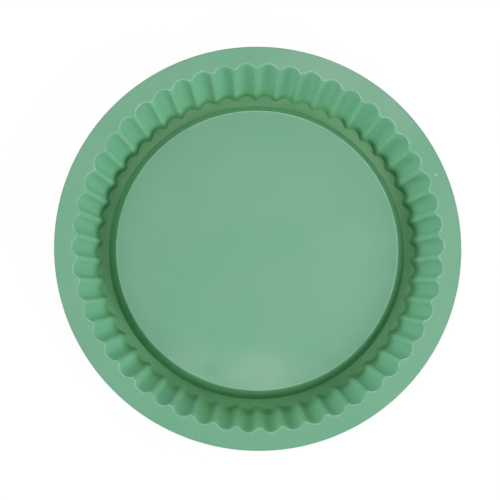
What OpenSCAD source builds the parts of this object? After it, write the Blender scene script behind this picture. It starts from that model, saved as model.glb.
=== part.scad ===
// Fluted flan mould in silicone: one moulding with a flat rim, a fluted sloping
// wall, a ring channel along the foot of the wall and a raised round centre.
// Millimetres. The origin is the middle of the face it rests on, +Z is up, and
// the middle of one flute lies on +X.

/* [Mouth and flutes] */
// Diameter over the flutes where the wall meets the top of the rim
mouth_d = 281; // [260:0.5:320]
// Number of flutes round the wall
flutes = 50; // [46:1:54]
// Depth of a flute at the mouth
flute_depth = 3.8; // [3:0.1:4.2]
// Width of the ridges between the flutes at the mouth, before they are rounded
ridge_w = 3.46; // [2.6:0.02:4.6]
// Rounding along the ridges between the flutes, at the mouth
ridge_r = 2.4; // [1:0.1:3]

/* [Rim] */
// Width of the flat rim, from the flutes out to its edge
rim_w = 13.5; // [8:0.5:20]
// Thickness of the rim, whose outer edge is a full round
rim_t = 2; // [1.6:0.1:3]
// Rounding of the edge between the rim and the wall
mouth_round = 1; // [0.5:0.1:2]
// Rounding outside, between the wall and the underside of the rim
under_rim_round = 1.2; // [0.5:0.1:2]

/* [Wall and channel] */
// Height from the resting face to the top of the rim
height = 32.5; // [28:0.5:40]
// Distance by which the wall comes in from the mouth to the channel's floor
wall_run = 18.4; // [14:0.1:22]
// Width of the channel's floor, from the flutes in to the riser
channel_w = 8.4; // [7:0.1:14]
// Thickness of the wall and of the riser, square to their faces
wall_t = 1.4; // [1:0.1:2]
// Thickness of the channel's floor
floor_t = 1.6; // [1.2:0.1:2.4]
// Rounding between the channel's floor and the wall
channel_round = 1.2; // [0.5:0.1:2]
// Rounding outside, under the channel
foot_round = 2; // [1:0.1:3]

/* [Raised centre] */
// Height of the raised centre above the channel's floor
plateau_rise = 12.5; // [8:0.5:16]
// Distance by which the riser comes in from the channel's floor to its top
riser_run = 5.7; // [3:0.1:9]
// Thickness of the raised centre
plateau_t = 1.5; // [1:0.1:2.5]
// Rounding of the top edge of the raised centre
plateau_round = 1.1; // [0.5:0.1:3]
// Rounding between the riser and the channel's floor
riser_foot_round = 0.7; // [0.3:0.1:1.2]
// Rounding in the corner under the raised centre
recess_round = 1; // [0.3:0.1:2]

/* [Fineness] */
// Facets across a flute's round hollow
flute_steps = 6; // [4:2:6]
// Facets on each rounded edge that runs along the flutes
round_steps = 3; // [2:1:3]

/* [Hidden] */
silicone = [0.47, 0.70, 0.58];
$fn = 360;

// Where the main faces lie
rim_top_z = height;
floor_z = floor_t;
plateau_z = floor_z + plateau_rise;
mouth_r = mouth_d / 2;
rim_r = mouth_r + rim_w;
base_r = mouth_r - wall_run;
riser_foot_r = base_r - channel_w;

// Flutes: the outline keeps its form and shrinks evenly from mouth to floor
pitch = 360 / flutes;
crest_r = mouth_r - flute_depth;
flute_r = hollow_radius(crest_r, pitch / 2 - asin(ridge_w / 2 / crest_r));
base_scale = base_r / mouth_r;
wall_depth = rim_top_z - floor_z;
wall_draft = atan(wall_run / wall_depth);
wall_across = wall_t / cos(wall_draft);
// Rounding left in the grooves outside, where a ridge's own is used up
groove_r = 0.3;
edge_steps = 2;

// Riser: a cone between the channel and the raised centre
riser_draft = atan(riser_run / plateau_rise);
riser_across = wall_t / cos(riser_draft);
arc_steps = 8;

// Length by which a solid runs past a face that it cuts
overrun = 1;

// Radius of a round hollow from the mouth's outermost circle to both edges of a
// flute, which lie on the crest circle at the given angle on either side
function hollow_radius(crest, turn) =
    let (reach = crest * cos(turn))
    (pow(crest, 2) + pow(mouth_r, 2) - 2 * mouth_r * reach) / (2 * (mouth_r - reach));

// Size of the flute outline at height z, as a share of its size at the mouth
function outline_scale(z) = base_scale + (1 - base_scale) * (z - floor_z) / wall_depth;

// Largest rounding that a ridge has room for, with a hollow of the given radius
// about the given place on +X and the ridge's crest at the given radius
function full_ridge(hollow, hollow_x, ridge) =
    let (reach = hollow_x * cos(pitch / 2))
    (pow(ridge, 2) + pow(hollow_x, 2) - 2 * ridge * reach - pow(hollow, 2)) / (2 * (hollow + reach - ridge));

// Upper half of one flute about +X, from the deepest point to the ridge, for an
// outline of scale s that is grown by d square to itself
function half_flute(s, d) =
    let (
        hollow = s * flute_r + d,
        hollow_x = s * (mouth_r - flute_r),
        ridge = s * crest_r + d,
        tip = min(max(s * ridge_r - d, groove_r), full_ridge(hollow, hollow_x, ridge)),
        turn = acos((pow(ridge + tip, 2) + pow(hollow_x, 2) - pow(hollow + tip, 2))
            / (2 * hollow_x * (ridge + tip))),
        centre = (ridge + tip) * [cos(turn), sin(turn)],
        span = atan2(centre.y, centre.x - hollow_x),
        crest = turn + (span - turn) / 3
    )
    concat(
        [for (i = [0 : flute_steps / 2])
            let (a = span * i / (flute_steps / 2)) [hollow_x + hollow * cos(a), hollow * sin(a)]],
        [centre - tip * [cos(crest), sin(crest)]]
    );

// One flute from ridge to ridge, counter-clockwise
function flute(s, d) =
    let (half = half_flute(s, d), last = len(half) - 1)
    concat(
        [for (i = [last : -1 : 1]) [half[i].x, -half[i].y]],
        half
    );

// The whole fluted outline at height z, grown by d
function ring(z, d) =
    let (one = flute(outline_scale(z), d))
    [for (k = [0 : flutes - 1], p = one)
        [p.x * cos(k * pitch) - p.y * sin(k * pitch), p.x * sin(k * pitch) + p.y * cos(k * pitch), z]];

// Growth and height, from a sharp corner, of points on the rounding between the
// wall and a level face; the list runs from the wall to the level face
function wall_round(r, steps) =
    [for (i = [0 : steps])
        let (
            a = wall_draft + (90 - wall_draft) * i / steps,
            x = r * (1 - sin(wall_draft)) / cos(wall_draft) - r * cos(a),
            z = -r * (1 - sin(a))
        )
        [x - z * tan(wall_draft), z]];

// A solid through a list of rings, from the lowest up, closed flat at the bottom
// and by a low cone to tip_z at the top
module loft(rings, tip_z) {
    n = len(rings[0]);
    top = len(rings) - 1;
    points = concat([for (r = rings, p = r) p], [[0, 0, rings[0][0].z], [0, 0, tip_z]]);
    low_middle = len(points) - 2;
    high_middle = len(points) - 1;
    sides = [for (k = [0 : top - 1], i = [0 : n - 1])
        let (a = k * n + i, b = k * n + (i + 1) % n)
        each [[a, a + n, b + n], [a, b + n, b]]];
    ends = [for (i = [0 : n - 1])
        let (j = (i + 1) % n)
        each [[low_middle, i, j], [high_middle, top * n + j, top * n + i]]];
    polyhedron(points = points, faces = concat(sides, ends));
}

// The space inside the fluted wall, open past the top of the rim
module inner_form() {
    low = [for (p = wall_round(channel_round, edge_steps)) ring(floor_z - p.y, -p.x)];
    high = [for (p = wall_round(mouth_round, round_steps)) ring(rim_top_z + p.y, p.x)];
    loft(concat([for (i = [edge_steps : -1 : 0]) low[i]], high), rim_top_z + overrun);
}

// The outside of the fluted wall, run up into the rim
module outer_form() {
    under_z = rim_top_z - rim_t;
    low = [for (p = wall_round(foot_round, edge_steps)) ring(-p.y, wall_across - p.x)];
    high = [for (p = wall_round(under_rim_round, edge_steps)) ring(under_z + p.y, wall_across + p.x)];
    loft(concat([for (i = [edge_steps : -1 : 0]) low[i]], high), under_z + rim_t / 2);
}

// Flat rim with a full round edge
module rim() {
    translate([0, 0, rim_top_z - rim_t])
        rotate_extrude() {
            square([rim_r - rim_t / 2, rim_t]);
            translate([rim_r - rim_t / 2, rim_t / 2]) circle(d = rim_t);
        }
}

// Radius of the riser at height z
function riser_r(z) = riser_foot_r - (z - floor_z) * tan(riser_draft);

// Points on the rounding of a riser's corner at [r, z], from the riser to the
// level face; side is 1 for a top edge and -1 for a foot
function riser_round(r, z, round_r, side) =
    let (
        back = round_r * tan((90 - riser_draft) / 2),
        middle = [r, z] - side * [back, round_r]
    )
    [for (i = [0 : arc_steps])
        let (a = riser_draft + (90 - riser_draft) * i / arc_steps)
        middle + side * round_r * [cos(a), sin(a)]];

// The raised centre as a solid block, from below the channel's floor up
module plateau_block() {
    foot = riser_round(riser_r(floor_z), floor_z, riser_foot_round, -1);
    top_edge = riser_round(riser_r(plateau_z), plateau_z, plateau_round, 1);
    rotate_extrude()
        polygon(concat(
            [[0, floor_z - overrun], [foot[arc_steps].x, floor_z - overrun]],
            [for (i = [arc_steps : -1 : 0]) foot[i]],
            top_edge,
            [[0, plateau_z]]
        ));
}

// The hollow under the raised centre, one wall inside the riser
module recess() {
    roof_z = plateau_z - plateau_t;
    roof_edge = riser_round(riser_r(roof_z) - riser_across, roof_z, recess_round, 1);
    rotate_extrude()
        polygon(concat(
            [[0, -overrun], [riser_r(-overrun) - riser_across, -overrun]],
            roof_edge,
            [[0, roof_z]]
        ));
}

module mould() {
    color(silicone)
        difference() {
            union() {
                outer_form();
                rim();
            }
            difference() {
                inner_form();
                plateau_block();
            }
            recess();
        }
}

mould();
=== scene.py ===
"""Dressed scene of a fluted flan mould in green silicone: its mesh, finish, studio and camera.

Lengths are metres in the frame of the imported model: +Z up, the resting face at z = 0, the axis of the
round mould on Z and the middle of one flute on +X. The mould is one moulding, so it is one closed mesh:
a section is carried round the axis, and where it passes the wall it follows the fluted outline.
"""

from __future__ import annotations

import logging
import math
from dataclasses import dataclass, field
from enum import Enum

import bpy
import numpy as np
from mathutils import Matrix, Vector

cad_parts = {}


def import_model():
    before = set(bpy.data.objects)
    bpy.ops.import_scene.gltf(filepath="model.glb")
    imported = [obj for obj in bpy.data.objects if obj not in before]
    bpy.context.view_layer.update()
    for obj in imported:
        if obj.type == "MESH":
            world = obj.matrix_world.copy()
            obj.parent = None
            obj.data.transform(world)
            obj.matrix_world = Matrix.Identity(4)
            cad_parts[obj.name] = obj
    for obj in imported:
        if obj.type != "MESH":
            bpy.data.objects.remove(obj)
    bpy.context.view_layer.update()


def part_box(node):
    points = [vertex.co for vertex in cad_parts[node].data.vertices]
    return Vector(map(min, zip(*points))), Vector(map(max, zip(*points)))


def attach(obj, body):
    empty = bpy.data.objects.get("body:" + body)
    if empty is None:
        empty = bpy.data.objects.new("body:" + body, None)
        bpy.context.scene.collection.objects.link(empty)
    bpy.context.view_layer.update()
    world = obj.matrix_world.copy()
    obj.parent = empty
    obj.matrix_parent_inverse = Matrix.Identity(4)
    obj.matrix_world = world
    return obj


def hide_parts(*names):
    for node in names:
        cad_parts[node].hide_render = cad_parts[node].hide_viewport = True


LOG = logging.getLogger("flan_mould")
MM = 0.001
PHOTO_PIXELS = 500
WHITE = (1.0, 1.0, 1.0, 1.0)


class Along(Enum):
    """What a station of the mould's section follows on its way round the axis."""

    ROUND = "a circle about the axis"
    FLUTES = "the fluted outline"


@dataclass(frozen=True)
class FluteOutline:
    """The fluted outline of the wall: round hollows between narrow rounded ridges.

    All lengths are those at the mouth. A hollow is an arc, a ridge is a short arc about the axis, and a
    small arc touches both and rounds the ridge's shoulder.
    """

    flutes: int = 50
    mouth_radius: float = 140.5 * MM
    depth: float = 3.8 * MM
    ridge_width: float = 3.46 * MM
    ridge_round: float = 2.4 * MM
    groove_round: float = 0.3 * MM
    hollow_steps: int = 10
    shoulder_steps: int = 5
    ridge_steps: int = 2

    @property
    def hollow_radius(self) -> float:
        """Radius of a hollow's arc, which runs from ridge to ridge through the mouth's outermost circle.

        Returns:
            The radius at the mouth in metres.
        """
        mouth, crest = self.mouth_radius, self.mouth_radius - self.depth
        reach = crest * math.cos(math.pi / self.flutes - math.asin(self.ridge_width / 2 / crest))
        return (crest**2 + mouth**2 - 2 * mouth * reach) / (2 * (mouth - reach))

    def points(self, scale: np.ndarray, grow: np.ndarray) -> np.ndarray:
        """Plan of the outline for several sections at once.

        The hollow's arc has the radius scale * hollow_radius + grow about a centre on the flute's middle
        line, the ridge's arc has the radius scale * (mouth_radius - depth) + grow about the axis, and the
        shoulder's arc touches both from the material's side, never larger than the room between two
        flutes. Half a flute is mirrored, with x + iy as one number, and turned once for each flute.

        Args:
            scale: Size of each section's outline as a share of its size at the mouth.
            grow: How far each section's outline lies outside the scaled one, square to it, in metres.

        Returns:
            Array of shape (sections, columns, 2) with x and y in metres.
        """
        scale, grow = np.asarray(scale)[:, None], np.asarray(grow)[:, None]
        hollow = scale * self.hollow_radius + grow
        hollow_x = scale * (self.mouth_radius - self.hollow_radius)
        ridge = scale * (self.mouth_radius - self.depth) + grow
        half_pitch = math.pi / self.flutes
        toward = hollow_x * math.cos(half_pitch)
        room = ridge**2 + hollow_x**2 - 2 * ridge * toward - hollow**2
        room = room / (2 * (hollow + toward - ridge))
        tip = np.minimum(np.maximum(scale * self.ridge_round - grow, self.groove_round), room)
        reach = ridge + tip
        turn = np.arccos((reach**2 + hollow_x**2 - (hollow + tip) ** 2) / (2 * hollow_x * reach))
        span = np.arctan2(reach * np.sin(turn), reach * np.cos(turn) - hollow_x)

        across = span * np.linspace(0, 1, self.hollow_steps + 1)
        around = math.pi + span + (turn - span) * np.linspace(0, 1, self.shoulder_steps + 1)[1:]
        along = turn + (half_pitch - turn) * np.linspace(0, 1, self.ridge_steps + 1)[1:]
        x = np.hstack([hollow_x + hollow * np.cos(across), reach * np.cos(turn) + tip * np.cos(around),
                       ridge * np.cos(along)])
        y = np.hstack([hollow * np.sin(across), reach * np.sin(turn) + tip * np.sin(around),
                       ridge * np.sin(along)])
        flute = np.hstack([x[:, :0:-1] - 1j * y[:, :0:-1], x + 1j * y])[:, 1:]
        turns = np.exp(2j * math.pi * np.arange(self.flutes) / self.flutes)
        outline = (turns[None, :, None] * flute[:, None, :]).reshape(len(flute), -1)
        return np.stack([outline.real, outline.imag], axis=-1)


@dataclass
class Section:
    """Stations of the mould's section, from the middle of its top round the rim to the middle below."""

    along: list[Along] = field(default_factory=list)
    reach: list[float] = field(default_factory=list)
    height: list[float] = field(default_factory=list)
    edge: list[float] = field(default_factory=list)
    ridge: list[float] = field(default_factory=list)

    def add(self, along: Along, stations: np.ndarray, edge: np.ndarray | float = 0.0,
            ridge: np.ndarray | float = 0.0) -> None:
        """Add stations.

        Args:
            along: What these stations follow round the axis.
            stations: Array of (reach, height) rows, where reach is a radius for a round station and the
                outline's growth for a fluted one.
            edge: How far each station belongs to a polished upper edge, which is glossed and painted
                paler as a highlight, from 0 to 1.
            ridge: How far the tips of the ridges are glossed and painted paler as a highlight at each
                station, from 0 to 1.
        """
        self.along += [along] * len(stations)
        self.reach += [float(r) for r in stations[:, 0]]
        self.height += [float(z) for z in stations[:, 1]]
        self.edge += [float(e) for e in np.broadcast_to(edge, len(stations))]
        self.ridge += [float(e) for e in np.broadcast_to(ridge, len(stations))]


def corner(draft: float, radius: float, steps: int) -> np.ndarray:
    """Rounding between a sloping face and a level face, measured from their sharp corner.

    The arc touches the sloping face at the first row and the level face at the last. Reach is counted
    from the sloping face at the same height, so it is what the outline grows by.

    Args:
        draft: Angle of the sloping face from the vertical, in radians.
        radius: Radius of the rounding in metres.
        steps: Number of steps along the arc.

    Returns:
        Array of (growth, height) rows in metres, with heights at or below zero.
    """
    turn = draft + (math.pi / 2 - draft) * np.linspace(0, 1, steps + 1)
    level = radius * (1 - math.sin(draft)) / math.cos(draft) - radius * np.cos(turn)
    drop = -radius * (1 - np.sin(turn))
    return np.stack([level - drop * math.tan(draft), drop], axis=-1)


@dataclass
class Graph:
    """A shader's node tree, with short calls for the kinds of node that the finishes use."""

    tree: bpy.types.NodeTree

    def node(self, kind: str, feeds: dict[str | int, object] | None = None,
             **settings: object) -> bpy.types.Node:
        """Add a node.

        Args:
            kind: Name of the node's type.
            feeds: What each of its inputs gets: a socket to link or a constant.
            **settings: Properties to set on the node first.

        Returns:
            The new node.
        """
        made = self.tree.nodes.new(kind)
        for name, value in settings.items():
            setattr(made, name, value)
        for name, value in (feeds or {}).items():
            self.feed(made.inputs[name], value)
        return made

    def feed(self, socket: bpy.types.NodeSocket, value: object) -> None:
        """Give an input what it reads.

        Args:
            socket: The input.
            value: Another node's output, which is linked, or a constant.
        """
        if isinstance(value, bpy.types.NodeSocket):
            self.tree.links.new(value, socket)
        else:
            socket.default_value = value

    def math(self, operation: str, first: object, second: object = 0.0,
             clamp: bool = False) -> bpy.types.NodeSocket:
        """Result of one sum on two values."""
        feeds = {0: first, 1: second}
        return self.node("ShaderNodeMath", feeds, operation=operation, use_clamp=clamp).outputs[0]

    def ramp(self, value: object, low: float, high: float, start: float = 0.0,
             stop: float = 1.0) -> bpy.types.NodeSocket:
        """Smooth step: start where the value is at low, stop where it is at high, level beyond."""
        feeds = {"Value": value, "From Min": low, "From Max": high, "To Min": start, "To Max": stop}
        return self.node("ShaderNodeMapRange", feeds, interpolation_type="SMOOTHSTEP").outputs["Result"]

    def noise(self, place: object, scale: float, detail: float = 2.0) -> bpy.types.NodeSocket:
        """Smooth noise between 0 and 1, with scale patches to the metre."""
        feeds = {"Vector": place, "Scale": scale, "Detail": detail}
        return self.node("ShaderNodeTexNoise", feeds).outputs["Fac"]

    def blend(self, share: object, first: object, second: object,
              way: str = "MIX") -> bpy.types.NodeSocket:
        """Blend two colours.

        Args:
            share: How much of the second colour there is, from 0 to 1.
            first: The colour underneath.
            second: The colour laid over it.
            way: Blender's name of the kind of blend.

        Returns:
            The blended colour's socket.
        """
        mix = self.node("ShaderNodeMix", data_type="RGBA", blend_type=way)
        for name, value in (("Factor_Float", share), ("A_Color", first), ("B_Color", second)):
            self.feed(next(i for i in mix.inputs if i.identifier == name), value)
        return next(o for o in mix.outputs if o.identifier == "Result_Color")


def group(name: str, inputs: dict[str, str], outputs: dict[str, str],
          ) -> tuple[Graph, dict[str, bpy.types.NodeSocket], bpy.types.Node]:
    """Start a group of shader nodes.

    Args:
        name: Name of the group.
        inputs: Socket type of each input, by its name.
        outputs: Socket type of each output, by its name.

    Returns:
        The group's graph, its input sockets by name, and its output node.
    """
    tree = bpy.data.node_groups.new(name, "ShaderNodeTree")
    for names, way in ((inputs, "INPUT"), (outputs, "OUTPUT")):
        for socket, kind in names.items():
            tree.interface.new_socket(socket, in_out=way, socket_type=kind)
    graph = Graph(tree)
    entry, leave = graph.node("NodeGroupInput"), graph.node("NodeGroupOutput")
    return graph, {socket.name: socket for socket in entry.outputs if socket.name}, leave


def spot_group() -> bpy.types.NodeTree:
    """Group for a soft oval spot.

    The place is taken from the spot's centre and divided by its reach along X, Y and Z. Within half of
    the resulting length the mask is 1, beyond the whole of it 0, and between them it falls smoothly.

    Returns:
        Group with the inputs Place, Centre and Reach and the output Mask.
    """
    names = dict.fromkeys(("Place", "Centre", "Reach"), "NodeSocketVector")
    graph, given, leave = group("soft_spot", names, {"Mask": "NodeSocketFloat"})
    kind = "ShaderNodeVectorMath"
    off = graph.node(kind, {0: given["Place"], 1: given["Centre"]}, operation="SUBTRACT")
    share = graph.node(kind, {0: off.outputs["Vector"], 1: given["Reach"]}, operation="DIVIDE")
    length = graph.node(kind, {0: share.outputs["Vector"]}, operation="LENGTH")
    graph.feed(leave.inputs["Mask"], graph.ramp(length.outputs["Value"], 0.5, 1.0, 1.0, 0.0))
    return graph.tree


def ring_group() -> bpy.types.NodeTree:
    """Group for a round band about the axis between two heights.

    The mask is the product of four ramps. Two on the distance from the axis and the lower one on the
    height are each as wide as Blur, and the upper one on the height is as wide as Fade.

    Returns:
        Group with the inputs Place, Inner, Outer, Low, High, Blur and Fade and the output Mask.
    """
    numbers = dict.fromkeys(("Inner", "Outer", "Low", "High", "Blur", "Fade"), "NodeSocketFloat")
    graph, given, leave = group("ring_band", {"Place": "NodeSocketVector"} | numbers,
                                {"Mask": "NodeSocketFloat"})
    parts = graph.node("ShaderNodeSeparateXYZ", {"Vector": given["Place"]})
    squares = [graph.math("MULTIPLY", parts.outputs[axis], parts.outputs[axis]) for axis in "XY"]
    radius, height = graph.math("SQRT", graph.math("ADD", *squares)), parts.outputs["Z"]
    mask = 1.0
    for first, second, width in ((radius, given["Inner"], "Blur"), (given["Outer"], radius, "Blur"),
                                 (height, given["Low"], "Blur"), (given["High"], height, "Fade")):
        step = graph.math("DIVIDE", graph.math("SUBTRACT", first, second), given[width], clamp=True)
        mask = graph.math("MULTIPLY", mask, step)
    graph.feed(leave.inputs["Mask"], mask)
    return graph.tree


@dataclass(frozen=True)
class Spot:
    """A soft oval patch: its middle, how far it reaches, how strong it is and its tint if it has one."""

    centre: tuple[float, float, float]
    reach: tuple[float, float, float]
    strength: float
    tint: tuple[float, float, float] = (1.0, 1.0, 1.0)

    def mask(self, graph: Graph, place: bpy.types.NodeSocket,
             tree: bpy.types.NodeTree) -> bpy.types.NodeSocket:
        """Add the spot to a material.

        Args:
            graph: The material's graph.
            place: Object coordinates.
            tree: The soft spot's group.

        Returns:
            Mask from 0 to the spot's strength.
        """
        feeds = {"Place": place, "Centre": self.centre, "Reach": self.reach}
        node = graph.node("ShaderNodeGroup", feeds, node_tree=tree)
        return graph.math("MULTIPLY", node.outputs["Mask"], self.strength)


@dataclass(frozen=True)
class Band:
    """A tinted band round the axis between two radii and two heights, with soft borders."""

    inner: float
    outer: float
    low: float
    high: float
    blur: float
    fade: float
    tint: tuple[float, float, float]

    def mask(self, graph: Graph, place: bpy.types.NodeSocket,
             tree: bpy.types.NodeTree) -> bpy.types.NodeSocket:
        """Add the band to a material.

        Args:
            graph: The material's graph.
            place: Object coordinates.
            tree: The ring band's group.

        Returns:
            Mask from 0 to 1.
        """
        feeds = {"Place": place, "Inner": self.inner, "Outer": self.outer, "Low": self.low,
                 "High": self.high, "Blur": self.blur, "Fade": self.fade}
        return graph.node("ShaderNodeGroup", feeds, node_tree=tree).outputs["Mask"]


@dataclass(frozen=True)
class SiliconeFinish:
    """Satin green silicone: dyed through, with a fine grain, polished edges and painted light and shade.

    A pale painted sheen lies on level faces in uneven patches, standing in for the soft reflection of
    the lamps. It is thicker in some spots and thinner in those with a strength below zero, so the spots
    paint light and shade. Polished edges and ridge tips are also painted paler, as a painted highlight.
    Bands and spots that carry a tint multiply the colour of the mould's inside by it, as painted shade
    and light in the channel, on the riser, on the near wall and on the rim's outer rounding. The scales
    of the noises are patches to the metre. A range is the pair of values between which a mask runs from
    nothing to full.
    """

    colour: tuple[float, float, float] = (0.155, 0.427, 0.252)
    # Pale colour of the painted sheen, which stands in for the lamps' soft reflection on level faces.
    painted_sheen_colour: tuple[float, float, float] = (0.50, 0.63, 0.555)
    speck_colour: tuple[float, float, float] = (0.55, 0.72, 0.62)
    # Pale colour painted on the polished edges and ridge tips: a painted highlight.
    painted_highlight_colour: tuple[float, float, float] = (0.34, 0.62, 0.46)
    painted_highlight_share: float = 0.38
    edge_gloss: float = 1.0
    edge_gloss_roughness: float = 0.10
    break_scale: float = 150.0
    break_range: tuple[float, float] = (0.38, 0.62)
    break_share: tuple[float, float] = (0.5, 1.2)
    roughness: float = 0.56
    roughness_swing: float = 0.04
    ior: float = 1.41
    shine: float = 0.35
    patch_scale: float = 22.0
    patch_detail: float = 4.0
    patch_range: tuple[float, float] = (0.3, 0.7)
    patch_sheen: tuple[float, float] = (0.7, 1.3)
    level_range: tuple[float, float] = (0.6, 0.95)
    inside_range: tuple[float, float] = (0.0, 0.3)
    # Painted sheen on level faces. Its spots, from the first: painted reflection on the plateau's near
    # side twice, painted light on the plateau's +X side, painted sheen on the far rim, painted shade on
    # the near rim, painted light on the far channel floor and painted shade on the near channel floor.
    painted_sheen_on_level_faces: float = 0.115
    painted_sheen_spots: tuple[Spot, ...] = (
        Spot((-0.036, -0.106, 0.0141), (0.078, 0.040, 0.003), 0.125),
        Spot((0.014, -0.112, 0.0141), (0.066, 0.042, 0.003), 0.055),
        Spot((0.090, 0.025, 0.0141), (0.080, 0.100, 0.003), 0.035),
        Spot((0.076, 0.122, 0.0325), (0.095, 0.060, 0.003), 0.10),
        Spot((-0.010, -0.147, 0.0325), (0.125, 0.060, 0.003), -0.055),
        Spot((0.030, 0.105, 0.0016), (0.190, 0.120, 0.006), 0.10),
        Spot((-0.010, -0.118, 0.0016), (0.130, 0.070, 0.006), -0.08),
    )
    # A spot on the plateau's near side where the painted sheen, a painted reflection, is thinner.
    painted_sheen_gap: Spot = Spot((-0.0365, -0.0922, 0.0141), (0.0080, 0.0055, 0.003), 0.08)
    speck: Spot = Spot((0.1357, 0.0542, 0.0325), (0.0012, 0.0012, 0.003), 0.5)
    # Painted shade: an olive tone on the channel's floor and fading up the wall's foot, where shade
    # falls.
    channel: Band = Band(inner=0.1133, outer=0.1320, low=0.0008, high=0.0130, blur=0.0006,
                         fade=0.0110, tint=(0.98, 1.035, 0.81))
    # Painted shade: a warmer, yellower tone on the riser, standing in for the colour of its shade.
    riser: Band = Band(inner=0.1060, outer=0.1140, low=0.0012, high=0.0142, blur=0.0006,
                       fade=0.0020, tint=(1.06, 0.99, 0.90))
    # Painted shade: a darker line on the rim's outer rounding.
    rim_edge_painted_shade: Band = Band(inner=0.1525, outer=0.1560, low=0.0300, high=0.0340, blur=0.0007,
                          fade=0.0007, tint=(0.96, 0.91, 0.96))
    # Painted shade: an olive tone on the near wall's inside, where it lies in shade.
    near_wall_painted_shade: Spot = Spot((0.004, -0.131, 0.016), (0.085, 0.030, 0.020), 1.0, (0.975, 0.985, 0.85))
    # On the riser: painted shade on its near side, then painted light on its far side.
    riser_painted_shade_and_light: tuple[Spot, ...] = (
        Spot((0.004, -0.112, 0.008), (0.105, 0.080, 0.030), 1.0, (0.82, 0.87, 0.81)),
        Spot((-0.004, 0.112, 0.008), (0.150, 0.120, 0.0075), 1.0, (1.25, 1.11, 1.22)),
    )
    grain_scale: float = 1600.0
    grain_height: float = 0.00002
    grain_strength: float = 0.35

    def material(self) -> bpy.types.Material:
        """Build the shader.

        Returns:
            The new material.
        """
        material = bpy.data.materials.new("silicone")
        material.use_nodes = True
        graph = Graph(material.node_tree)
        shader = material.node_tree.nodes["Principled BSDF"]
        place = graph.node("ShaderNodeTexCoord").outputs["Object"]
        patches = graph.noise(place, self.patch_scale, self.patch_detail)
        # Mask of the polished edges and ridge tips, which take both the coat's gloss and a painted
        # highlight.
        gloss_and_highlight = graph.node("ShaderNodeAttribute", attribute_name="edge").outputs["Fac"]
        breaks = graph.ramp(graph.noise(place, self.break_scale), *self.break_range, *self.break_share)
        edge = graph.math("MULTIPLY", gloss_and_highlight, breaks, clamp=True)
        colour = self.base_colour(graph, place, patches)
        # Painted highlight: the polished edges and ridge tips are painted paler.
        pale = graph.blend(graph.math("MULTIPLY", edge, self.painted_highlight_share), colour, (*self.painted_highlight_colour, 1))
        graph.feed(shader.inputs["Base Color"], pale)
        smooth, rough = self.roughness - self.roughness_swing, self.roughness + self.roughness_swing
        graph.feed(shader.inputs["Roughness"], graph.ramp(patches, *self.patch_range, smooth, rough))
        graph.feed(shader.inputs["IOR"], self.ior)
        graph.feed(shader.inputs["Specular IOR Level"], self.shine)
        graph.feed(shader.inputs["Coat Weight"], graph.math("MULTIPLY", edge, self.edge_gloss))
        graph.feed(shader.inputs["Coat Roughness"], self.edge_gloss_roughness)
        grain = graph.noise(place, self.grain_scale)
        feeds = {"Height": grain, "Distance": self.grain_height, "Strength": self.grain_strength}
        graph.feed(shader.inputs["Normal"], graph.node("ShaderNodeBump", feeds).outputs["Normal"])
        return material

    def base_colour(self, graph: Graph, place: bpy.types.NodeSocket,
                    patches: bpy.types.NodeSocket) -> bpy.types.NodeSocket:
        """Green dye under a painted sheen on level faces, with painted shade and light in the channel, on
        the riser, on the near wall and on the rim's outer rounding.

        Args:
            graph: The material's graph.
            place: Object coordinates.
            patches: Noise that breaks up the painted sheen.

        Returns:
            The colour's socket.
        """
        spot, ring = spot_group(), ring_group()
        normal = graph.node("ShaderNodeTexCoord").outputs["Normal"]
        upward = graph.node("ShaderNodeSeparateXYZ", {"Vector": normal}).outputs["Z"]
        # Painted sheen: a pale colour laid on level faces where the lamps' reflection would be, in
        # patches and spots.
        painted_sheen = self.painted_sheen_on_level_faces
        for each in self.painted_sheen_spots:
            painted_sheen = graph.math("ADD", painted_sheen, each.mask(graph, place, spot))
        painted_sheen = graph.math("MULTIPLY", painted_sheen, graph.ramp(patches, *self.patch_range, *self.patch_sheen))
        painted_sheen = graph.math("MULTIPLY", painted_sheen, graph.ramp(upward, *self.level_range))
        # Thinner painted sheen in one spot on the plateau.
        painted_sheen = graph.math("SUBTRACT", painted_sheen, self.painted_sheen_gap.mask(graph, place, spot), clamp=True)
        colour = graph.blend(painted_sheen, (*self.colour, 1), (*self.painted_sheen_colour, 1))

        # Painted shade and light: each mask multiplies the colour of the mould's inside by its tint.
        bands = (self.channel, self.riser, self.rim_edge_painted_shade)
        masks = {band: band.mask(graph, place, ring) for band in bands}
        shades = [(mask, band.tint) for band, mask in masks.items()]
        shades.append((self.near_wall_painted_shade.mask(graph, place, spot), self.near_wall_painted_shade.tint))
        for side in self.riser_painted_shade_and_light:
            mask = graph.math("MULTIPLY", masks[self.riser], side.mask(graph, place, spot))
            shades.append((mask, side.tint))
        inside = graph.ramp(upward, *self.inside_range)
        for mask, tint in shades:
            colour = graph.blend(graph.math("MULTIPLY", mask, inside), colour, (*tint, 1), "MULTIPLY")
        return graph.blend(self.speck.mask(graph, place, spot), colour, (*self.speck_colour, 1))


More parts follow.
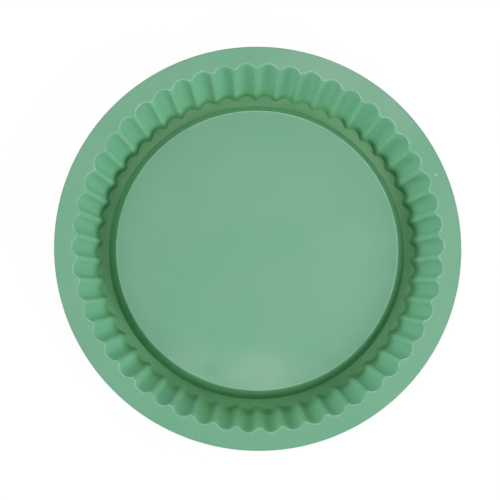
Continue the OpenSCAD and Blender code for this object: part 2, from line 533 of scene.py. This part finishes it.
@dataclass
class FlanMould:
    """The moulding: rim, fluted wall, ring channel, riser and raised centre in one closed skin."""

    rim_radius: float
    rim_top: float
    outline: FluteOutline = FluteOutline()
    finish: SiliconeFinish = SiliconeFinish()
    rim_thickness: float = 2 * MM
    mouth_round: float = 1.0 * MM
    floor_radius: float = 122.1 * MM
    floor_thickness: float = 1.6 * MM
    wall_thickness: float = 1.4 * MM
    channel_round: float = 1.2 * MM
    foot_round: float = 2 * MM
    under_rim_round: float = 1.2 * MM
    plateau_radius: float = 108 * MM
    riser_foot_radius: float = 113.7 * MM
    plateau_rise: float = 12.5 * MM
    plateau_thickness: float = 1.5 * MM
    plateau_round: float = 1.1 * MM
    riser_foot_round: float = 0.7 * MM
    recess_round: float = 1 * MM
    edge_fade: float = 0.5 * MM
    # How far the ridge tips are glossed and painted paler as a highlight, and how sharply that falls off
    # them.
    ridge_gloss_and_highlight: float = 0.4
    ridge_gloss_and_highlight_power: float = 4.0
    pole_radius: float = 10 * MM
    plateau_edge_steps: int = 7
    riser_foot_steps: int = 4
    channel_steps: int = 5
    wall_steps: int = 3
    mouth_steps: int = 6
    rim_edge_steps: int = 9
    under_rim_steps: int = 4
    foot_steps: int = 5
    recess_steps: int = 4
    name: str = "flan_mould"

    @property
    def plateau_top(self) -> float:
        """Height of the raised centre's top."""
        return self.floor_thickness + self.plateau_rise

    @property
    def wall_draft(self) -> float:
        """Angle of the fluted wall from the vertical, in radians."""
        run = self.outline.mouth_radius - self.floor_radius
        return math.atan2(run, self.rim_top - self.floor_thickness)

    @property
    def riser_draft(self) -> float:
        """Angle of the riser from the vertical, in radians."""
        return math.atan2(self.riser_foot_radius - self.plateau_radius, self.plateau_rise)

    def outline_scale(self, height: np.ndarray) -> np.ndarray:
        """Size of the fluted outline at each height, which grows evenly from the floor to the rim.

        Args:
            height: Heights in metres.

        Returns:
            Shares of the outline's size at the mouth.
        """
        low = self.floor_radius / self.outline.mouth_radius
        rise = (height - self.floor_thickness) / (self.rim_top - self.floor_thickness)
        return low + (1 - low) * rise

    def riser_radius(self, height: float) -> float:
        """Radius of the riser's cone at a height."""
        return self.riser_foot_radius - (height - self.floor_thickness) * math.tan(self.riser_draft)

    def riser_corner(self, radius: float, height: float, rounding: float, steps: int) -> np.ndarray:
        """Rounding between the riser and a level face above it, in rows from the riser up.

        Args:
            radius: Radius of the sharp corner in metres.
            height: Height of the level face in metres.
            rounding: Radius of the rounding in metres; below zero for a foot, where the rows go down.
            steps: Number of steps along the arc.

        Returns:
            Array of (radius, height) rows in metres.
        """
        turn = self.riser_draft + (math.pi / 2 - self.riser_draft) * np.linspace(0, 1, steps + 1)
        back = rounding * math.tan((math.pi / 2 - self.riser_draft) / 2)
        arc = rounding * np.stack([np.cos(turn), np.sin(turn)], axis=-1)
        return arc + [radius - back, height - rounding]

    def section(self) -> Section:
        """Lay out the whole section, from the top's middle outwards and back underneath.

        Returns:
            The stations in order.
        """
        rim_under = self.rim_top - self.rim_thickness
        roof = self.plateau_top - self.plateau_thickness
        wall_across = self.wall_thickness / math.cos(self.wall_draft)
        riser_across = self.wall_thickness / math.cos(self.riser_draft)
        floor = self.floor_thickness
        bead = self.rim_thickness / 2
        section = Section()

        section.add(Along.ROUND, np.array([[self.pole_radius, self.plateau_top]]))
        top_edge = self.riser_corner(
            self.plateau_radius, self.plateau_top, self.plateau_round, self.plateau_edge_steps)[::-1]
        section.add(Along.ROUND, top_edge[:1] - [self.edge_fade, 0])
        section.add(Along.ROUND, top_edge, np.linspace(1, 0, len(top_edge)))
        section.add(Along.ROUND, self.riser_corner(
            self.riser_foot_radius, floor, -self.riser_foot_round, self.riser_foot_steps))

        channel = corner(self.wall_draft, self.channel_round, self.channel_steps)[::-1]
        rising = np.linspace(0, 1, len(channel))
        section.add(Along.FLUTES, [0, floor] - channel, ridge=rising)
        mouth = corner(self.wall_draft, self.mouth_round, self.mouth_steps)
        low, high = floor - channel[-1, 1], self.rim_top + mouth[0, 1]
        wall = np.linspace(low, high, self.wall_steps + 1)[1:-1]
        section.add(Along.FLUTES, np.stack([np.zeros_like(wall), wall], axis=-1), ridge=1.0)
        section.add(Along.FLUTES, mouth + [0, self.rim_top], np.linspace(0, 1, len(mouth)), 1.0)
        section.add(Along.FLUTES, mouth[-1:] + [self.edge_fade, self.rim_top])

        sweep = math.pi / 2 - math.pi * np.linspace(0, 1, self.rim_edge_steps + 1)
        edge = np.stack([np.cos(sweep), np.sin(sweep)], axis=-1) * bead
        section.add(Along.ROUND, edge + [self.rim_radius - bead, self.rim_top - bead])

        under = corner(self.wall_draft, self.under_rim_round, self.under_rim_steps)[::-1]
        section.add(Along.FLUTES, under + [wall_across, rim_under])
        foot = corner(self.wall_draft, self.foot_round, self.foot_steps)
        section.add(Along.FLUTES, [wall_across, 0] - foot)

        section.add(Along.ROUND, np.array([[self.riser_radius(0) - riser_across, 0]]))
        roof_radius = self.riser_radius(roof) - riser_across
        section.add(Along.ROUND, self.riser_corner(
            roof_radius, roof, self.recess_round, self.recess_steps))
        section.add(Along.ROUND, np.array([[self.pole_radius, roof]]))
        return section

    def grid(self, section: Section) -> np.ndarray:
        """Carry the section round the axis.

        Point (i, j) is station i at column j. A fluted station takes its plan from the outline, scaled
        for its height and grown by its reach. A round station takes its radius along the column's own
        angle, which is that of the outline's point at the mouth, so the columns stay straight across
        level faces.

        Args:
            section: Stations of the section.

        Returns:
            Array of shape (stations, columns, 3) in metres.
        """
        fluted = np.array([a is Along.FLUTES for a in section.along])
        reach, height = np.array(section.reach), np.array(section.height)
        mouth = self.outline.points(np.ones(1), np.zeros(1))[0]
        heading = mouth / np.linalg.norm(mouth, axis=-1, keepdims=True)
        plan = reach[:, None, None] * heading[None]
        plan[fluted] = self.outline.points(self.outline_scale(height[fluted]), reach[fluted])
        level = np.broadcast_to(height[:, None, None], (*plan.shape[:2], 1))
        return np.concatenate([plan, level], axis=-1)

    def faces(self, stations: int, columns: int) -> tuple[np.ndarray, np.ndarray]:
        """Corner lists of the skin: quads between neighbouring stations and a fan at each pole.

        Args:
            stations: Number of stations in the grid.
            columns: Number of columns in the grid.

        Returns:
            Quads of shape (n, 4) and triangles of shape (m, 3), facing outwards. The poles' points follow
            those of the grid, the upper one first.
        """
        column = np.arange(columns)
        after = (column + 1) % columns
        first = np.arange(stations - 1)[:, None] * columns
        second = first + columns
        quads = np.stack([first + column, second + column, second + after, first + after], axis=-1)
        top, last = stations * columns, (stations - 1) * columns
        fans = np.concatenate([
            np.stack([np.full(columns, top), column, after], axis=-1),
            np.stack([np.full(columns, top + 1), last + after, last + column], axis=-1),
        ])
        return quads.reshape(-1, 4), fans

    def ridge_tips(self) -> np.ndarray:
        """How far each column is glossed and painted paler, as a painted highlight, as part of a ridge.

        It is the share of the flutes' depth by which the column rises from the hollow, to a power, so
        only the tips stand out.

        Returns:
            Gloss and painted highlight of each column, from 0 to the share set for the ridges.
        """
        mouth = self.outline.points(np.ones(1), np.zeros(1))[0]
        rise = (self.outline.mouth_radius - np.linalg.norm(mouth, axis=-1)) / self.outline.depth
        return self.ridge_gloss_and_highlight * np.clip(rise, 0, 1) ** self.ridge_gloss_and_highlight_power

    def mesh(self) -> bpy.types.Mesh:
        """Build the closed mesh with smooth normals weighted by face area, so level faces stay level.

        The attribute edge says how far each point belongs to a polished upper edge or the tip of a ridge,
        where the finish adds gloss and a painted highlight.

        Returns:
            The new mesh.
        """
        section = self.section()
        grid = self.grid(section)
        stations, columns = grid.shape[:2]
        poles = [[0, 0, grid[0, 0, 2]], [0, 0, grid[-1, 0, 2]]]
        points = np.concatenate([grid.reshape(-1, 3), poles])
        quads, fans = self.faces(stations, columns)
        mesh = bpy.data.meshes.new(self.name)
        corners = np.concatenate([quads.ravel(), fans.ravel()])
        starts = np.concatenate([np.arange(len(quads)) * 4, len(quads) * 4 + np.arange(len(fans)) * 3])
        mesh.vertices.add(len(points))
        mesh.loops.add(len(corners))
        mesh.polygons.add(len(starts))
        mesh.vertices.foreach_set("co", points.ravel())
        mesh.loops.foreach_set("vertex_index", corners)
        mesh.polygons.foreach_set("loop_start", starts)
        mesh.update(calc_edges=True)
        mesh.validate()
        edge = np.maximum(np.array(section.edge)[:, None], np.outer(section.ridge, self.ridge_tips()))
        gloss_and_highlight = mesh.attributes.new("edge", "FLOAT", "POINT")
        gloss_and_highlight.data.foreach_set("value", np.append(edge, [0.0, 0.0]))
        mesh.shade_smooth()
        mesh.normals_split_custom_set_from_vertices(weighted_normals(points, quads, fans))
        return mesh

    def build(self) -> bpy.types.Object:
        """Make the moulding and dress it.

        Returns:
            The finished object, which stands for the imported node.
        """
        mould = bpy.data.objects.new(self.name, self.mesh())
        bpy.context.scene.collection.objects.link(mould)
        mould.data.materials.append(self.finish.material())
        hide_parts("mould")
        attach(mould, "root")
        return mould


def weighted_normals(points: np.ndarray, quads: np.ndarray, fans: np.ndarray) -> np.ndarray:
    """Normal of each point: the sum of its faces' normals, each as long as its face is large.

    Args:
        points: Points of shape (n, 3).
        quads: Corner lists of the four-sided faces.
        fans: Corner lists of the triangles.

    Returns:
        Unit normals of shape (n, 3).
    """
    total = np.zeros_like(points)
    a, b, c, d = (points[quads[:, k]] for k in range(4))
    diagonals = np.cross(c - a, d - b)
    a, b, c = (points[fans[:, k]] for k in range(3))
    sides = np.cross(b - a, c - a)
    for faces, area in ((quads, diagonals), (fans, sides)):
        for k in range(faces.shape[1]):
            for axis in range(3):
                total[:, axis] += np.bincount(faces[:, k], area[:, axis], len(points))
    return total / np.linalg.norm(total, axis=-1, keepdims=True)


@dataclass(frozen=True)
class SoftBox:
    """A square area lamp that faces the mould."""

    name: str
    bearing: float
    elevation: float
    power: float
    distance: float = 1.6
    side: float = 0.6

    def build(self, target: Vector) -> bpy.types.Object:
        """Place the lamp.

        Args:
            target: Point that the lamp faces, in metres.

        Returns:
            The lamp's object.
        """
        lamp = bpy.data.lights.new(self.name, "AREA")
        lamp.shape = "SQUARE"
        lamp.size = self.side
        lamp.energy = self.power
        lamp_object = bpy.data.objects.new(self.name, lamp)
        bearing, elevation = math.radians(self.bearing), math.radians(self.elevation)
        out = math.cos(elevation)
        way = Vector((out * math.cos(bearing), out * math.sin(bearing), math.sin(elevation)))
        lamp_object.location = target + way * self.distance
        lamp_object.rotation_euler = way.to_track_quat("Z", "Y").to_euler()
        lamp_object.visible_camera = False
        bpy.context.scene.collection.objects.link(lamp_object)
        return lamp_object


@dataclass
class Studio:
    """Pale floor, white surroundings and soft boxes.

    The surroundings light the mould at the ambient level. The floor is lit matt of the floor's tone, and
    where it is seen plainly it is mostly a white glow, so the mould's shadow on it stays faint.
    """

    ambient: float = 0.0
    floor_side: float = 8.0
    floor_tone: float = 0.8
    floor_roughness: float = 0.9
    floor_white: float = 0.88
    floor_glow: float = 1.06
    boxes: tuple[SoftBox, ...] = (
        SoftBox("box_near_right", -45, 27, 13.1),
        SoftBox("box_left", 180, 19, 10.9),
        SoftBox("box_right", 0, 21, 9.8),
        SoftBox("box_near_left", 225, 27.5, 7.2),
        SoftBox("box_far", 90, 14, 4.3),
        SoftBox("box_high", 58, 70, 2.9),
        SoftBox("box_high_far", 90, 58, 3.3),
        SoftBox("box_far_left", 135, 14, 2.4),
    )

    @staticmethod
    def seen_plainly(graph: Graph) -> bpy.types.NodeSocket:
        """Mask that is 1 for camera, mirror and glass rays and 0 for the rays that light the mould.

        Args:
            graph: The world's or the floor's graph.

        Returns:
            The mask's output socket.
        """
        path = graph.node("ShaderNodeLightPath").outputs
        either = graph.math("MAXIMUM", path["Is Camera Ray"], path["Is Glossy Ray"])
        return graph.math("MAXIMUM", either, path["Is Transmission Ray"])

    def world(self) -> bpy.types.World:
        """White surroundings that light the mould at the ambient level.

        Returns:
            The world, set on the scene.
        """
        world = bpy.data.worlds.new("surroundings")
        world.use_nodes = True
        graph = Graph(world.node_tree)
        shine = world.node_tree.nodes["Background"]
        graph.feed(shine.inputs["Color"], WHITE)
        level = graph.ramp(self.seen_plainly(graph), 0.0, 1.0, self.ambient, 1.0)
        graph.feed(shine.inputs["Strength"], level)
        bpy.context.scene.world = world
        return world

    def floor_material(self) -> bpy.types.Material:
        """Matt floor that is nearly white where it is seen plainly.

        Returns:
            The new material.
        """
        material = bpy.data.materials.new("floor")
        material.use_nodes = True
        graph, nodes = Graph(material.node_tree), material.node_tree.nodes
        matt = nodes["Principled BSDF"]
        graph.feed(matt.inputs["Base Color"], (*[self.floor_tone] * 3, 1))
        graph.feed(matt.inputs["Roughness"], self.floor_roughness)
        white = graph.node("ShaderNodeEmission", {"Strength": self.floor_glow})
        share = graph.math("MULTIPLY", self.seen_plainly(graph), self.floor_white)
        feeds = {0: share, 1: matt.outputs["BSDF"], 2: white.outputs["Emission"]}
        blend = graph.node("ShaderNodeMixShader", feeds)
        graph.feed(nodes["Material Output"].inputs["Surface"], blend.outputs["Shader"])
        return material

    def floor(self) -> bpy.types.Object:
        """Plain floor under the mould, seen nearly white but for the mould's shadow.

        Returns:
            The floor's object.
        """
        half = self.floor_side / 2
        corners = [(-half, -half, 0), (half, -half, 0), (half, half, 0), (-half, half, 0)]
        mesh = bpy.data.meshes.new("floor")
        mesh.from_pydata(corners, [], [(0, 1, 2, 3)])
        mesh.materials.append(self.floor_material())
        floor = bpy.data.objects.new("floor", mesh)
        bpy.context.scene.collection.objects.link(floor)
        return floor

    def build(self, target: Vector) -> None:
        """Set up the world, the floor and the lamps.

        Args:
            target: Point that the lamps face, in metres.
        """
        self.world()
        self.floor()
        for box in self.boxes:
            box.build(target)


@dataclass(frozen=True)
class PhotoCamera:
    """The photograph's camera: high above the mould and a little in front of it.

    Bearing and tilt say where the camera stands, seen from the middle of the rim's top. The middle of the
    rim doesn't lie in the middle of the picture, so the camera is turned a little past it.
    """

    tilt: float = 7.93
    bearing: float = 252.5
    roll: float = 0.39
    focal_pixels: float = 1916.0
    rim_centre_pixel: tuple[float, float] = (258.01, 245.40)
    metres_per_pixel: float = 0.7550 * MM
    sensor_width: float = 36.0
    clip: tuple[float, float] = (0.05, 50.0)

    def build(self, rim_top: float) -> bpy.types.Object:
        """Place the camera and make it the scene's.

        Args:
            rim_top: Height of the rim's top in metres.

        Returns:
            The camera's object.
        """
        tilt, bearing = math.radians(self.tilt), math.radians(self.bearing)
        out = math.sin(tilt)
        way = Vector((out * math.cos(bearing), out * math.sin(bearing), math.cos(tilt)))
        rim_centre = Vector((0, 0, rim_top))
        place = rim_centre + way * self.focal_pixels * self.metres_per_pixel

        right = Vector((0, 1, 0)).cross(way).normalized()
        up = way.cross(right)
        roll = Matrix.Rotation(math.radians(-self.roll), 3, way)
        right, up = roll @ right, roll @ up
        middle = (PHOTO_PIXELS - 1) / 2
        across = (middle - self.rim_centre_pixel[0]) / self.focal_pixels
        down = (middle - self.rim_centre_pixel[1]) / self.focal_pixels
        back = (way - right * across + up * down).normalized()
        right = up.cross(back).normalized()
        up = back.cross(right)

        camera = bpy.data.cameras.new("photo_camera")
        camera.sensor_width = self.sensor_width
        camera.lens = self.focal_pixels * self.sensor_width / PHOTO_PIXELS
        camera.clip_start, camera.clip_end = self.clip
        camera_object = bpy.data.objects.new("photo_camera", camera)
        turned = Matrix((right, up, back)).transposed().to_4x4()
        camera_object.matrix_world = Matrix.Translation(place) @ turned
        bpy.context.scene.collection.objects.link(camera_object)
        bpy.context.scene.camera = camera_object
        return camera_object


def main() -> None:
    """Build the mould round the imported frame, then the studio and the camera."""
    logging.basicConfig(level=logging.INFO, format="%(name)s: %(message)s")
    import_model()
    low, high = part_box("mould")
    mould = FlanMould(rim_radius=high.x, rim_top=high.z)
    piece = mould.build()
    LOG.info("%s: %d points, %d faces", piece.name, len(piece.data.vertices), len(piece.data.polygons))
    Studio().build(Vector((0, 0, mould.rim_top)))
    camera = PhotoCamera().build(mould.rim_top)
    LOG.info("camera at %s", tuple(round(v, 4) for v in camera.location))
    bpy.context.scene.view_settings.view_transform = "Standard"


if __name__ == "__main__":
    main()
